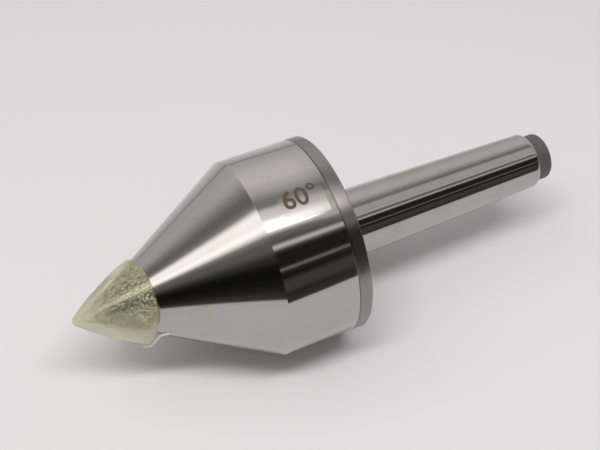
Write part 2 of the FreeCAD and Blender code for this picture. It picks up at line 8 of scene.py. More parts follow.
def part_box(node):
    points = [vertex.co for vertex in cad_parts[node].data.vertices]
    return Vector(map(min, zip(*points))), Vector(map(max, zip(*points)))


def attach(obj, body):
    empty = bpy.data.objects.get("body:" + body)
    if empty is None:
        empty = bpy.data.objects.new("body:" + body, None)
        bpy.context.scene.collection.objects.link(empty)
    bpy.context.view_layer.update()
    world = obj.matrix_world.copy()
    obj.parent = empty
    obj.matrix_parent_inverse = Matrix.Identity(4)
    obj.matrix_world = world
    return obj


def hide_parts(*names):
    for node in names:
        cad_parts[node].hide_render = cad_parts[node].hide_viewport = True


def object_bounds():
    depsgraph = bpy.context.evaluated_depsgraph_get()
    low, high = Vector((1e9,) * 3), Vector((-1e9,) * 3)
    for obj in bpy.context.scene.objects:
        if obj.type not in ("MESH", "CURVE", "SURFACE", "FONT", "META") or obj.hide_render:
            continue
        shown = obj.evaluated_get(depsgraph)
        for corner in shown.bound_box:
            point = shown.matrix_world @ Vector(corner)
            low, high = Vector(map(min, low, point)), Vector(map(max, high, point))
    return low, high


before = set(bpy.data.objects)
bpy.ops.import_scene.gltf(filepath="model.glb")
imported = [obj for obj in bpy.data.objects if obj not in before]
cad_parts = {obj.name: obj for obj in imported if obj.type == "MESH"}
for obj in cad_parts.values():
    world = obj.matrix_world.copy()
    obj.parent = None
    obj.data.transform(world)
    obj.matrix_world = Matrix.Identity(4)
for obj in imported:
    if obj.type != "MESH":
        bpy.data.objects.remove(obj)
cad_low, cad_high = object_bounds()

# ---- camera ------------------------------------------------------------------------------------
# It looks down on the center from the point's side, 47 degrees above the bench, with a lens of
# 66 mm. Its place is in the part's own frame, whose origin is at the arbor's gauge plane.
CAMERA_PLACE = Vector((-0.15591, -0.29211, 0.36164))
CAMERA_RIGHT = Vector((0.90121, -0.43339, 0.0))
CAMERA_FORWARD = Vector((0.29390, 0.61116, -0.73492))
camera_data = bpy.data.cameras.new("camera")
camera_data.lens = 66.0
camera_data.sensor_width = 36.0
camera = bpy.data.objects.new("camera", camera_data)
bpy.context.scene.collection.objects.link(camera)
camera_axes = Matrix((CAMERA_RIGHT, CAMERA_RIGHT.cross(CAMERA_FORWARD), -CAMERA_FORWARD))
camera.matrix_world = Matrix.Translation(CAMERA_PLACE) @ camera_axes.transposed().to_4x4()
bpy.context.scene.camera = camera

# ---- rotating head -----------------------------------------------------------------------------
# One piece of hardened steel: a 60 degree cone and a plain land, both ground while turning, so
# fine rings run round them. Its stepped bore holds the bearings, and the end cap screws into it.
RING_SIDES = 256
LAND_LENGTH = 0.032
POINT_FLAT = 0.0005
EDGE_BREAK = 0.0004
SOFT_EDGE = 0.00012
THREAD_STEP = 0.002
THREAD_RELIEF = 0.0006
CUP_SEAT = 0.005
CLIP_LAND = 0.002
CLIP_SLACK = 0.00015
CLIP_GROOVE = 0.0015
NUT_BORE = 0.0205
NUT_ROOM = 0.0006
GREASE_BORE = 0.014
GREASE_DEPTH = 0.0045
head_low, head_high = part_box("head_cone")
cap_low, cap_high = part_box("end_cap")
cup_low, cup_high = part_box("rear_bearing_cup")
clip_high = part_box("bore_circlip")[1]
front_low, front_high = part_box("front_outer_ring")
nut_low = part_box("locknut")[0]
land_radius = head_high.z
joint = head_high.x
shoulder = joint - LAND_LENGTH
thread_radius = cup_high.z + THREAD_STEP
groove_rear = clip_high.x + CLIP_SLACK
cavity_end = nut_low.x - NUT_ROOM


def turn_piece(name, outline, closed=False):
    """A ring of vertices, extruded and resized from one (station, radius) to the next."""
    bpy.ops.object.select_all(action="DESELECT")
    station, ring_radius = outline[0]
    bpy.ops.mesh.primitive_circle_add(
        vertices=RING_SIDES, radius=ring_radius,
        location=(station, 0, 0), rotation=(0, math.pi / 2, 0))
    piece = bpy.context.object
    piece.name = name
    bpy.ops.object.transform_apply(location=True, rotation=True, scale=True)
    bpy.ops.object.mode_set(mode="EDIT")
    bpy.ops.mesh.select_all(action="SELECT")
    for next_station, next_radius in outline[1:] + outline[:1] * closed:
        grow = next_radius / ring_radius
        step_along = (next_station - station, 0, 0)
        bpy.ops.mesh.extrude_region_move(TRANSFORM_OT_translate={"value": step_along})
        bpy.ops.transform.resize(value=(1, grow, grow), center_override=(next_station, 0, 0))
        station, ring_radius = next_station, next_radius
    bpy.ops.mesh.select_all(action="SELECT")
    bpy.ops.mesh.remove_doubles(threshold=1e-7)
    bpy.ops.mesh.select_all(action="DESELECT")
    bpy.ops.mesh.select_non_manifold()
    if not closed:
        bpy.ops.mesh.fill_holes(sides=0)
    bpy.ops.mesh.select_all(action="SELECT")
    bpy.ops.mesh.normals_make_consistent(inside=False)
    bpy.ops.object.mode_set(mode="OBJECT")
    return piece


def apply_modifiers(piece, *names):
    bpy.ops.object.select_all(action="DESELECT")
    piece.select_set(True)
    bpy.context.view_layer.objects.active = piece
    for name in names:
        bpy.ops.object.modifier_apply(modifier=name)


def break_edges(piece):
    """Rounds every sharp turned edge, then shades the faces smooth between them."""
    bevel = piece.modifiers.new("edges", "BEVEL")
    bevel.width = SOFT_EDGE
    bevel.segments = 3
    bevel.limit_method = "ANGLE"
    bevel.angle_limit = math.radians(20)
    bevel.use_clamp_overlap = True
    apply_modifiers(piece, "edges")
    bpy.ops.object.shade_smooth_by_angle(angle=math.radians(30))


def link(material, source, socket, target, target_socket):
    material.node_tree.links.new(source.outputs[socket], target.inputs[target_socket])


def new_finish(name, base, metallic, roughness):
    """A material of one plain colour, with its nodes, its shader and its object coordinates."""
    material = bpy.data.materials.new(name)
    material.use_nodes = True
    material.diffuse_color = (*base, 1)
    nodes = material.node_tree.nodes
    shader = nodes["Principled BSDF"]
    shader.inputs["Base Color"].default_value = (*base, 1)
    shader.inputs["Metallic"].default_value = metallic
    shader.inputs["Roughness"].default_value = roughness
    place = nodes.new("ShaderNodeTexCoord")
    return material, nodes, shader, place


def ground_steel(name, base, stain, roughness, grain, line_pitch):
    """Ground steel: rings along X in gloss and height, faint warm stains, stretched highlights."""
    material, nodes, shader, place = new_finish(name, base, 1.0, roughness)
    along = nodes.new("ShaderNodeSeparateXYZ")
    link(material, place, "Object", along, "Vector")
    lines = nodes.new("ShaderNodeTexNoise")
    lines.noise_dimensions = "1D"
    lines.inputs["Scale"].default_value = 1 / line_pitch
    lines.inputs["Detail"].default_value = 3.0
    lines.inputs["Roughness"].default_value = 0.7
    link(material, along, "X", lines, "W")
    gloss = nodes.new("ShaderNodeMapRange")
    gloss.inputs["To Min"].default_value = roughness - grain
    gloss.inputs["To Max"].default_value = roughness + grain
    link(material, lines, "Fac", gloss, "Value")
    link(material, gloss, "Result", shader, "Roughness")
    stains = nodes.new("ShaderNodeTexNoise")
    stains.inputs["Scale"].default_value = 55.0
    stains.inputs["Detail"].default_value = 5.0
    stains.inputs["Roughness"].default_value = 0.6
    link(material, place, "Object", stains, "Vector")
    amount = nodes.new("ShaderNodeMapRange")
    amount.inputs["From Min"].default_value = 0.52
    amount.inputs["From Max"].default_value = 0.72
    link(material, stains, "Fac", amount, "Value")
    warm = nodes.new("ShaderNodeMix")
    warm.data_type = "RGBA"
    warm.inputs["A"].default_value = (*base, 1)
    warm.inputs["B"].default_value = (*stain, 1)
    link(material, amount, "Result", warm, "Factor")
    shade = nodes.new("ShaderNodeMapRange")
    shade.inputs["To Min"].default_value = 0.94
    shade.inputs["To Max"].default_value = 1.05
    link(material, lines, "Fac", shade, "Value")
    lined = nodes.new("ShaderNodeVectorMath")
    lined.operation = "SCALE"
    link(material, warm, "Result", lined, "Vector")
    link(material, shade, "Result", lined, "Scale")
    link(material, lined, "Vector", shader, "Base Color")
    height = nodes.new("ShaderNodeBump")
    height.inputs["Strength"].default_value = 0.25
    height.inputs["Distance"].default_value = 0.00002
    link(material, lines, "Fac", height, "Height")
    link(material, height, "Normal", shader, "Normal")
    turned = nodes.new("ShaderNodeTangent")
    turned.direction_type = "RADIAL"
    turned.axis = "X"
    shader.inputs["Anisotropic"].default_value = 0.85
    shader.inputs["Anisotropic Rotation"].default_value = 0.25
    link(material, turned, "Tangent", shader, "Tangent")
    return material


head = turn_piece("head", [
    (head_low.x, POINT_FLAT),
    (shoulder, land_radius),
    (joint - EDGE_BREAK, land_radius),
    (joint, land_radius - EDGE_BREAK),
    (joint, thread_radius),
    (cap_low.x - THREAD_RELIEF, thread_radius),
    (cap_low.x - THREAD_RELIEF, cup_high.z),
    (cup_low.x, cup_high.z),
    (cup_low.x, cup_high.z - CUP_SEAT),
    (groove_rear + CLIP_LAND, cup_high.z - CUP_SEAT),
    (groove_rear + CLIP_LAND, front_high.z),
    (groove_rear, front_high.z),
    (groove_rear, front_high.z + CLIP_GROOVE),
    (front_high.x, front_high.z + CLIP_GROOVE),
    (front_high.x, front_high.z),
    (front_low.x, front_high.z),
    (front_low.x, NUT_BORE),
    (cavity_end, NUT_BORE),
    (cavity_end, GREASE_BORE),
    (cavity_end - GREASE_DEPTH, GREASE_BORE),
])
break_edges(head)
head_finish = ground_steel(
    "ground_head_steel", (0.46, 0.454, 0.444), (0.44, 0.41, 0.36), 0.1, 0.03, 0.0004)
# A matte patch was left on the land for marking: a length along X by a turn about it.
PATCH_PLACE, PATCH_HALF_LENGTH = -0.0213, 0.0098
PATCH_TURN, PATCH_HALF_TURN = math.radians(68.5), 0.125
PATCH_FROST = 0.16
nodes = head_finish.node_tree.nodes
shader = nodes["Principled BSDF"]
place = next(node for node in nodes if node.type == "TEX_COORD")
axes = nodes.new("ShaderNodeSeparateXYZ")
link(head_finish, place, "Object", axes, "Vector")
fore = nodes.new("ShaderNodeMath")
fore.operation = "MULTIPLY"
fore.inputs[1].default_value = -1.0
link(head_finish, axes, "Y", fore, 0)
turn = nodes.new("ShaderNodeMath")
turn.operation = "ARCTAN2"
link(head_finish, axes, "Z", turn, 0)
link(head_finish, fore, 0, turn, 1)
inside = None
for source, socket, middle, half in (
        (axes, "X", PATCH_PLACE, PATCH_HALF_LENGTH), (turn, 0, PATCH_TURN, PATCH_HALF_TURN)):
    within = nodes.new("ShaderNodeMath")
    within.operation = "COMPARE"
    within.inputs[1].default_value = middle
    within.inputs[2].default_value = half
    link(head_finish, source, socket, within, 0)
    if inside:
        both = nodes.new("ShaderNodeMath")
        both.operation = "MULTIPLY"
        link(head_finish, inside, 0, both, 0)
        link(head_finish, within, 0, both, 1)
        within = both
    inside = within
gloss = shader.inputs["Roughness"].links[0].from_node
frosted = nodes.new("ShaderNodeMath")
frosted.operation = "MULTIPLY_ADD"
frosted.inputs[1].default_value = PATCH_FROST
link(head_finish, inside, 0, frosted, 0)
link(head_finish, gloss, "Result", frosted, 2)
link(head_finish, frosted, 0, shader, "Roughness")
head.data.materials.append(head_finish)
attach(head, "head")
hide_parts("head_cone")
# The angle of the point, etched on the land.
MARK_PLACE = -0.0215
MARK_TURN = math.radians(73)
MARK_SIZE = 0.0115
MARK_STROKE = 0.00018
MARK_DEPTH = 0.00002
MARK_LIFT = 0.002
bpy.ops.object.select_all(action="DESELECT")
lifted = land_radius + MARK_LIFT
bpy.ops.object.text_add(
    location=(MARK_PLACE, -lifted * math.cos(MARK_TURN), lifted * math.sin(MARK_TURN)),
    rotation=(math.pi / 2 - MARK_TURN, 0, 0))
mark = bpy.context.object
mark.name = "angle_mark"
mark.data.body = "60\u00b0"
mark.data.size = MARK_SIZE
mark.data.offset = MARK_STROKE
mark.data.align_x = "CENTER"
mark.data.align_y = "CENTER"
bpy.ops.object.convert(target="MESH")
bpy.ops.object.mode_set(mode="EDIT")
bpy.ops.mesh.select_all(action="SELECT")
bpy.ops.mesh.quads_convert_to_tris()
bpy.ops.mesh.subdivide(number_cuts=5)
bpy.ops.object.mode_set(mode="OBJECT")
laid = mark.modifiers.new("laid", "SHRINKWRAP")
laid.target = head
laid.wrap_method = "PROJECT"
laid.use_project_z = True
laid.use_positive_direction = False
laid.use_negative_direction = True
laid.offset = MARK_DEPTH
bpy.ops.object.modifier_apply(modifier="laid")
bpy.ops.object.transform_apply(location=True, rotation=True, scale=True)
thick = mark.modifiers.new("thick", "SOLIDIFY")
thick.thickness = 2 * MARK_DEPTH
thick.offset = -1.0
bpy.ops.object.modifier_apply(modifier="thick")
mark_finish, nodes, shader, place = new_finish("etched_brown", (0.11, 0.085, 0.055), 0.6, 0.5)
burn = nodes.new("ShaderNodeTexNoise")
burn.inputs["Scale"].default_value = 1500.0
link(mark_finish, place, "Object", burn, "Vector")
browns = nodes.new("ShaderNodeValToRGB")
browns.color_ramp.elements[0].color = (0.08, 0.062, 0.04, 1)
browns.color_ramp.elements[1].color = (0.16, 0.125, 0.085, 1)
link(mark_finish, burn, "Fac", browns, "Fac")
link(mark_finish, browns, "Color", shader, "Base Color")
mark.data.materials.append(mark_finish)
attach(mark, "head")

# ---- end cap -----------------------------------------------------------------------------------
# A dark satin ring, turned and blackened, screwed into the rear of the head. Its rear face has
# four blind holes for a pin spanner, and its bore holds the shaft seal.
SPANNER_CIRCLE = 0.036
SPANNER_HOLE = 0.003
SPANNER_DEPTH = 0.004
COUNTERSINK = 0.0003
SPANNER_SIDES = 48
WEB_BORE = 0.0183
WASHER_SLACK = 0.00015
seal_low, seal_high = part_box("seal_case")
spring_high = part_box("disc_spring")[1]
washer_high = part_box("thrust_washer")[1]
cap = turn_piece("cap", [
    (cap_high.x, seal_high.z),
    (seal_low.x, seal_high.z),
    (seal_low.x, WEB_BORE),
    (spring_high.x, WEB_BORE),
    (spring_high.x, washer_high.z + WASHER_SLACK),
    (cap_low.x, washer_high.z + WASHER_SLACK),
    (cap_low.x, thread_radius),
    (joint, thread_radius),
    (joint, land_radius - EDGE_BREAK),
    (joint + EDGE_BREAK, land_radius),
    (cap_high.x - EDGE_BREAK, land_radius),
    (cap_high.x, land_radius - EDGE_BREAK),
], closed=True)
break_edges(cap)
for side in range(4):
    turn_angle = math.radians(90 * side)
    hole_across = (SPANNER_CIRCLE * math.sin(turn_angle), SPANNER_CIRCLE * math.cos(turn_angle))
    bpy.ops.object.select_all(action="DESELECT")
    bpy.ops.mesh.primitive_circle_add(
        vertices=SPANNER_SIDES, radius=SPANNER_HOLE + 2 * COUNTERSINK,
        location=(cap_high.x, *hole_across), rotation=(0, math.pi / 2, 0))
    drill = bpy.context.object
    bpy.ops.object.transform_apply(location=True, rotation=True, scale=True)
    bpy.ops.object.mode_set(mode="EDIT")
    bpy.ops.mesh.select_all(action="SELECT")
    bpy.ops.transform.translate(value=(COUNTERSINK, 0, 0))
    narrow = SPANNER_HOLE / (SPANNER_HOLE + 2 * COUNTERSINK)
    bpy.ops.mesh.extrude_region_move(TRANSFORM_OT_translate={"value": (-2 * COUNTERSINK, 0, 0)})
    bpy.ops.transform.resize(
        value=(1, narrow, narrow), center_override=(cap_high.x - COUNTERSINK, *hole_across))
    drill_step = (COUNTERSINK - SPANNER_DEPTH, 0, 0)
    bpy.ops.mesh.extrude_region_move(TRANSFORM_OT_translate={"value": drill_step})
    bpy.ops.mesh.select_all(action="DESELECT")
    bpy.ops.mesh.select_non_manifold()
    bpy.ops.mesh.fill_holes(sides=0)
    bpy.ops.mesh.select_all(action="SELECT")
    bpy.ops.mesh.normals_make_consistent(inside=False)
    bpy.ops.object.mode_set(mode="OBJECT")
    cut = cap.modifiers.new("spanner_hole", "BOOLEAN")
    cut.operation = "DIFFERENCE"
    cut.solver = "EXACT"
    cut.object = drill
    apply_modifiers(cap, "spanner_hole")
    bpy.data.objects.remove(drill)
bpy.ops.object.shade_smooth_by_angle(angle=math.radians(30))
cap_finish = ground_steel(
    "satin_cap_steel", (0.3, 0.294, 0.286), (0.275, 0.262, 0.242), 0.36, 0.05, 0.0005)
cap.data.materials.append(cap_finish)
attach(cap, "head")
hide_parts("end_cap")

# ---- arbor -------------------------------------------------------------------------------------
# Spindle, thrust flange, Morse No. 4 shank and tail stub in one hardened forging. The shank is
# ground; the stub behind it was left dark from hardening, with a drilled center in its end.
TAPER_RATIO = 19.254
PLUG_DEPTH = 0.1032
GAUGE_RADIUS = 0.0156335
SHANK_CORNER_LENGTH = 0.0026
SHANK_CORNER_DEPTH = 0.0016
CORNER_STEPS = 8
NOSE_RADIUS = 0.0125
NOSE_CHAMFER = 0.001
JOURNAL_RADIUS = 0.0175
FLANGE_RADIUS = 0.028
FLANGE_WIDTH = 0.005
COLLAR_SETBACK = 0.0008
STUB_RADIUS = 0.0109
STUB_CORNER = ((0.0015, 0), (0.0008, 0.0003), (0.0003, 0.0008), (0, 0.0015))
CENTER_RADIUS = 0.0045
CENTER_SINK = 0.00433
PILOT_RADIUS = 0.002
PILOT_DEPTH = 0.011
SCALE_OVERLAP = 0.0003
arbor_low, arbor_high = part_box("arbor")
cone_low, cone_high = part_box("rear_bearing_cone")
tail = arbor_high.x
collar_rear = cap_high.x - COLLAR_SETBACK


def shank_radius(station):
    return GAUGE_RADIUS - station / (2 * TAPER_RATIO)


shank_end = PLUG_DEPTH - SHANK_CORNER_LENGTH
rounded_end = []
for step in range(1, CORNER_STEPS + 1):
    swing = math.radians(90 * step / CORNER_STEPS)
    rounded_end.append((
        shank_end + SHANK_CORNER_LENGTH * math.sin(swing),
        shank_radius(shank_end) - SHANK_CORNER_DEPTH * (1 - math.cos(swing))))
arbor = turn_piece("arbor_dressed", [
    (arbor_low.x, NOSE_RADIUS - NOSE_CHAMFER),
    (arbor_low.x + NOSE_CHAMFER, NOSE_RADIUS),
    (cone_low.x + EDGE_BREAK, NOSE_RADIUS),
    (cone_low.x + EDGE_BREAK, JOURNAL_RADIUS),
    (cone_high.x, JOURNAL_RADIUS),
    (cone_high.x, FLANGE_RADIUS),
    (cone_high.x + FLANGE_WIDTH, FLANGE_RADIUS),
    (cone_high.x + FLANGE_WIDTH, JOURNAL_RADIUS),
    (collar_rear, JOURNAL_RADIUS),
    (collar_rear, shank_radius(collar_rear)),
    (shank_end, shank_radius(shank_end)),
    *rounded_end,
    (PLUG_DEPTH, STUB_RADIUS),
    *((tail - back, STUB_RADIUS - down) for back, down in STUB_CORNER),
    (tail, CENTER_RADIUS),
    (tail - CENTER_SINK, PILOT_RADIUS),
    (tail - PILOT_DEPTH, PILOT_RADIUS),
])
break_edges(arbor)
arbor_finish = ground_steel(
    "ground_arbor_steel", (0.46, 0.453, 0.442), (0.44, 0.4, 0.35), 0.1, 0.03, 0.0005)
arbor.data.materials.append(arbor_finish)
stub_finish, nodes, shader, place = new_finish("hardening_scale", (0.115, 0.11, 0.105), 0.25, 0.55)
scale = nodes.new("ShaderNodeTexNoise")
scale.inputs["Scale"].default_value = 900.0
scale.inputs["Detail"].default_value = 4.0
link(stub_finish, place, "Object", scale, "Vector")
patches = nodes.new("ShaderNodeValToRGB")
patches.color_ramp.elements[0].position = 0.3
patches.color_ramp.elements[0].color = (0.09, 0.086, 0.082, 1)
patches.color_ramp.elements[1].position = 0.7
patches.color_ramp.elements[1].color = (0.14, 0.134, 0.128, 1)
link(stub_finish, scale, "Fac", patches, "Fac")
link(stub_finish, patches, "Color", shader, "Base Color")
pits = nodes.new("ShaderNodeBump")
pits.inputs["Strength"].default_value = 0.25
pits.inputs["Distance"].default_value = 0.00004
link(stub_finish, scale, "Fac", pits, "Height")
link(stub_finish, pits, "Normal", shader, "Normal")
arbor.data.materials.append(stub_finish)
for face in arbor.data.polygons:
    if face.center.x > PLUG_DEPTH - SCALE_OVERLAP:
        face.material_index = 1
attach(arbor, "arbor")
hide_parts("arbor")

# ---- protective dip ----------------------------------------------------------------------------
# The point is dipped in hot strippable plastic, which sets as a clear olive skin full of bubbles.
# It sagged as it set: thin at its upper edge, and a thick lip with a curled thread below.
DIP_BALL = 0.0026
DIP_BOW = 0.121
DIP_RIM = 0.0205
DIP_REACH = 0.0326
DIP_SAG = math.radians(4.1)
DIP_EDGE = -0.09228
DIP_EDGE_LEAN = (1, 0.127, -0.287)
DIP_EDGE_ROUND = 0.0006
DIP_LUMPS = ((260, 0.00018), (900, 0.00006))
DIP_SHRINK = 0.0001
DIP_FILM = 0.00003
DIP_SLACK = 0.00001
DIP_MILKY_LENGTH = 0.016
BALL_STEPS = 8
FLANK_STEPS = 60
dip_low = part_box("tip_coating")[0]
dip_tip = dip_low.x + DIP_SLACK
span = math.hypot(DIP_REACH - DIP_BALL, DIP_RIM)
flank = math.atan(DIP_RIM / (DIP_REACH - DIP_BALL)) - math.asin(DIP_BALL / span)
flank += math.asin(span / (2 * DIP_BOW))
dip_outline = []
for step in range(1, BALL_STEPS + 1):
    swing = (math.pi / 2 - flank) * step / BALL_STEPS
    dip_outline.append((DIP_BALL - DIP_BALL * math.cos(swing), DIP_BALL * math.sin(swing)))
flank_start = Vector(dip_outline[-1])
flank_chord = Vector((DIP_REACH, DIP_RIM)) - flank_start
bow_across = Vector((-flank_chord.y, flank_chord.x)).normalized()
bow_rise = DIP_BOW - math.sqrt(DIP_BOW ** 2 - (flank_chord.length / 2) ** 2)
for step in range(1, FLANK_STEPS + 1):
    share = step / FLANK_STEPS
    on_chord = flank_start + flank_chord * share
    dip_outline.append(tuple(on_chord + bow_across * bow_rise * 4 * share * (1 - share)))
dip = turn_piece("point_dip", dip_outline)
turned_down = Matrix.Translation((dip_tip, 0, 0)) @ Matrix.Rotation(DIP_SAG, 4, "Y")
dip.data.transform(turned_down)
bpy.ops.object.mode_set(mode="EDIT")
bpy.ops.mesh.select_all(action="SELECT")
bpy.ops.mesh.bisect(
    plane_co=(DIP_EDGE, 0, 0), plane_no=DIP_EDGE_LEAN,
    use_fill=True, clear_outer=True, clear_inner=False)
bpy.ops.object.mode_set(mode="OBJECT")
for vertex in dip.data.vertices:
    spot = vertex.co
    reach = math.hypot(spot.y, spot.z)
    if reach > 1e-6:
        lump = sum(noise.noise(spot * pitch) * height for pitch, height in DIP_LUMPS) - DIP_SHRINK
        spot.y *= (reach + lump) / reach
        spot.z *= (reach + lump) / reach
lip = dip.modifiers.new("rim", "BEVEL")
lip.width = DIP_EDGE_ROUND
lip.segments = 4
lip.limit_method = "ANGLE"
lip.angle_limit = math.radians(50)
point = turn_piece(
    "point_hollow", [(head_low.x - DIP_FILM, POINT_FLAT), (shoulder, land_radius + DIP_FILM)])
hollow = dip.modifiers.new("hollow", "BOOLEAN")
hollow.operation = "DIFFERENCE"
hollow.solver = "MANIFOLD"
hollow.object = point
apply_modifiers(dip, "rim", "hollow")
bpy.data.objects.remove(point)
bpy.ops.object.shade_smooth_by_angle(angle=math.radians(50))


def set_plastic(name, dull, pale, cloudy, clear):
    """Set plastic: pale drawn-out bubbles in a clearer skin, which is milky by the tip.

    cloudy and clear are the shares of light let through at the tip and past the milky length.
    """
    material, nodes, shader, place = new_finish(name, dull, 0.0, 0.3)
    shader.inputs["IOR"].default_value = 1.1
    shader.inputs["Coat Weight"].default_value = 0.7
    shader.inputs["Coat Roughness"].default_value = 0.3
    swirl = nodes.new("ShaderNodeTexNoise")
    swirl.inputs["Scale"].default_value = 1000.0
    swirl.inputs["Detail"].default_value = 2.0
    link(material, place, "Object", swirl, "Vector")
    drawn = nodes.new("ShaderNodeVectorMath")
    drawn.operation = "MULTIPLY_ADD"
    drawn.inputs[1].default_value = (0.0008, 0.0008, 0.0008)
    link(material, swirl, "Color", drawn, 0)
    link(material, place, "Object", drawn, 2)
    bubbles = nodes.new("ShaderNodeTexVoronoi")
    bubbles.inputs["Scale"].default_value = 1600.0
    link(material, drawn, "Vector", bubbles, "Vector")
    tone = nodes.new("ShaderNodeValToRGB")
    tone.color_ramp.elements[0].position = 0.27
    tone.color_ramp.elements[0].color = (*pale, 1)
    tone.color_ramp.elements[1].position = 0.37
    tone.color_ramp.elements[1].color = (*dull, 1)
    link(material, bubbles, "Distance", tone, "Fac")
    link(material, tone, "Color", shader, "Base Color")
    open_skin = nodes.new("ShaderNodeMapRange")
    open_skin.inputs["From Min"].default_value = 0.27
    open_skin.inputs["From Max"].default_value = 0.37
    open_skin.inputs["To Min"].default_value = 0.1
    open_skin.inputs["To Max"].default_value = 1.0
    link(material, bubbles, "Distance", open_skin, "Value")
    along = nodes.new("ShaderNodeSeparateXYZ")
    link(material, place, "Object", along, "Vector")
    depth = nodes.new("ShaderNodeMapRange")
    depth.inputs["From Min"].default_value = dip_tip
    depth.inputs["From Max"].default_value = dip_tip + DIP_MILKY_LENGTH
    depth.inputs["To Min"].default_value = cloudy
    depth.inputs["To Max"].default_value = clear
    link(material, along, "X", depth, "Value")
    through = nodes.new("ShaderNodeMath")
    through.operation = "MULTIPLY"
    link(material, open_skin, "Result", through, 0)
    link(material, depth, "Result", through, 1)
    link(material, through, 0, shader, "Transmission Weight")
    height = nodes.new("ShaderNodeBump")
    height.inputs["Strength"].default_value = 0.1
    height.inputs["Distance"].default_value = 0.0001
    link(material, bubbles, "Distance", height, "Height")
    link(material, height, "Normal", shader, "Normal")
    return material


dip_finish = set_plastic("olive_dip", (0.74, 0.73, 0.54), (0.86, 0.84, 0.66), 0.5, 0.98)
dip.data.materials.clear()
dip.data.materials.append(dip_finish)
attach(dip, "head")
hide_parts("tip_coating")
# The curled thread, as (lean in degrees from the viewer's side, station, distance from the axis).
CURL_RADIUS = 0.0006
CURL_PATH = (
    (-46, -0.0930, 0.0200), (-60, -0.0946, 0.0216), (-67, -0.0944, 0.0222), (-60, -0.0930, 0.0220),
    (-48, -0.0917, 0.0208), (-38, -0.0900, 0.0190), (-28, -0.0880, 0.0178), (-22, -0.0863, 0.0184),
    (-17.3, -0.0845, 0.0194),
)
bpy.ops.object.select_all(action="DESELECT")
bpy.ops.curve.primitive_nurbs_path_add(location=(0, 0, 0))
thread = bpy.context.object
thread.name = "dip_thread"
thread_line = thread.data.splines[0]
thread_line.points.add(len(CURL_PATH) - len(thread_line.points))
for knot, (lean, station, reach) in zip(thread_line.points, CURL_PATH):
    lean = math.radians(lean)
    knot.co = (station, -reach * math.cos(lean), reach * math.sin(lean), 1)
thread_line.order_u = 3
thread_line.use_endpoint_u = True
thread.data.bevel_depth = CURL_RADIUS
thread.data.bevel_resolution = 3
thread.data.use_fill_caps = True
bpy.ops.object.convert(target="MESH")
bpy.ops.object.transform_apply(location=True, rotation=True, scale=True)
bpy.ops.object.shade_smooth_by_angle(angle=math.radians(50))
thread_finish = set_plastic("pale_dip", (0.84, 0.8, 0.68), (0.9, 0.87, 0.76), 0.0, 0.1)
thread.data.materials.append(thread_finish)
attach(thread, "head")

# ---- shaft seal --------------------------------------------------------------------------------
# A pressed steel case in the cap's bore with a moulded black rubber lip on the arbor's collar.
case_finish, nodes, shader, place = new_finish("seal_case_steel", (0.24, 0.24, 0.25), 1.0, 0.4)
mottle = nodes.new("ShaderNodeTexNoise")
mottle.inputs["Scale"].default_value = 400.0
link(case_finish, place, "Object", mottle, "Vector")
uneven = nodes.new("ShaderNodeMapRange")
uneven.inputs["To Min"].default_value = 0.32
uneven.inputs["To Max"].default_value = 0.48
link(case_finish, mottle, "Fac", uneven, "Value")
link(case_finish, uneven, "Result", shader, "Roughness")
lip_finish, nodes, shader, place = new_finish("seal_rubber", (0.03, 0.03, 0.032), 0.0, 0.65)
grain = nodes.new("ShaderNodeTexNoise")
grain.inputs["Scale"].default_value = 2500.0
link(lip_finish, place, "Object", grain, "Vector")
pores = nodes.new("ShaderNodeBump")
pores.inputs["Strength"].default_value = 0.3
pores.inputs["Distance"].default_value = 0.00003
link(lip_finish, grain, "Fac", pores, "Height")
link(lip_finish, pores, "Normal", shader, "Normal")


def dress(node_name, finish):
    """Gives a piece of the inner build its finish."""
    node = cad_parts[node_name]
    node.data.materials.clear()
    node.data.materials.append(finish)


dress("seal_case", case_finish)
dress("seal_lip", lip_finish)

# ---- bearings and the parts that hold them -----------------------------------------------------
# Rings and rollers are polished bearing steel, cages pressed sheet; the nut, washers, sleeve and
# circlip are dark oxidised steel, and the thrust washer is turned bronze.
race_finish = ground_steel(
    "bearing_steel_polish", (0.66, 0.66, 0.66), (0.62, 0.61, 0.6), 0.14, 0.03, 0.0004)
cage_finish = ground_steel(
    "cage_sheet_steel", (0.5, 0.5, 0.5), (0.46, 0.45, 0.43), 0.42, 0.05, 0.001)
dark_finish = ground_steel(
    "oxidised_steel", (0.2, 0.2, 0.21), (0.18, 0.17, 0.16), 0.42, 0.05, 0.0006)
bronze_finish = ground_steel(
    "turned_bronze", (0.62, 0.45, 0.22), (0.5, 0.34, 0.16), 0.3, 0.05, 0.0006)
for node_name in ("rear_bearing_cup", "rear_bearing_cone", "rear_rollers", "front_outer_ring",
                  "front_inner_ring", "front_rollers"):
    dress(node_name, race_finish)
for node_name in ("rear_cage", "front_cage"):
    dress(node_name, cage_finish)
for node_name in ("spacer_sleeve", "bore_circlip", "lock_washer", "locknut", "disc_spring"):
    dress(node_name, dark_finish)
dress("thrust_washer", bronze_finish)

